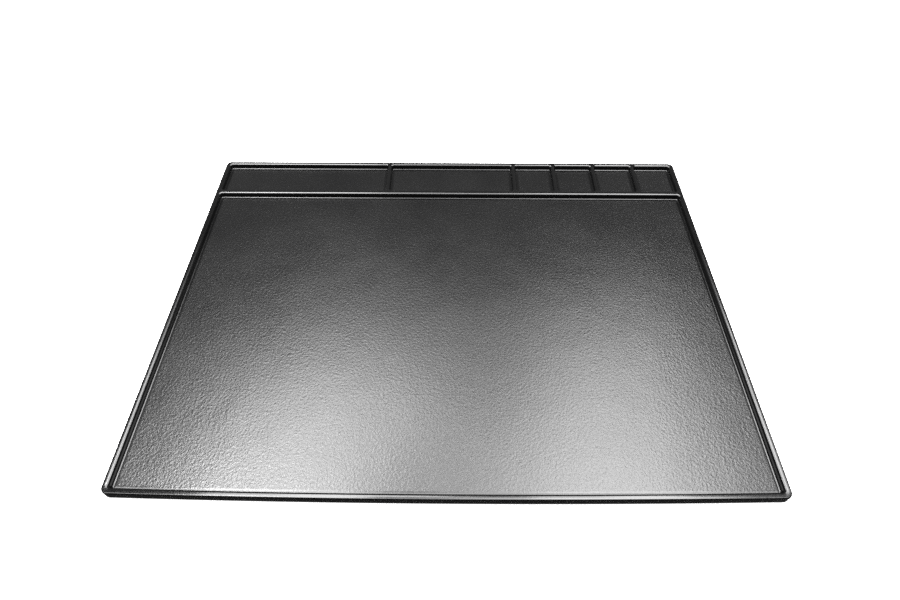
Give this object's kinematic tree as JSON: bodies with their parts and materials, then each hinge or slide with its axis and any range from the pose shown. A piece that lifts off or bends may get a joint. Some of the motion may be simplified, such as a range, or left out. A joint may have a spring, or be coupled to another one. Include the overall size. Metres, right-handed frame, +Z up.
{
  "type": "parts sorting tray",
  "caption": "Shallow black bench tray: one large grained work well, a cross rail, and a rear strip of long and small wells, on stick-on rubber feet.",
  "frame": {"origin": "centre of the footprint, on the bench surface that the feet stand on", "axes": "+X to the tray's right along its long side, +Y to the back where the small wells are, +Z up out of the wells"},
  "size_m": [0.61, 0.4606, 0.0109],
  "materials": {
    "black_abs": "black ABS sheet, fine haircell grain on the well floors, smoother satin on the rounded beads and the skirt",
    "foot_rubber": "matt black bumper rubber"
  },
  "bodies": {
    "root": {"tray_moulding": "black_abs", "foot_front_left": "foot_rubber", "foot_front_centre": "foot_rubber", "foot_front_right": "foot_rubber", "foot_middle_left": "foot_rubber", "foot_middle_centre": "foot_rubber", "foot_middle_right": "foot_rubber", "foot_rear_left": "foot_rubber", "foot_rear_centre": "foot_rubber", "foot_rear_right": "foot_rubber"}
  },
  "joints": []
}
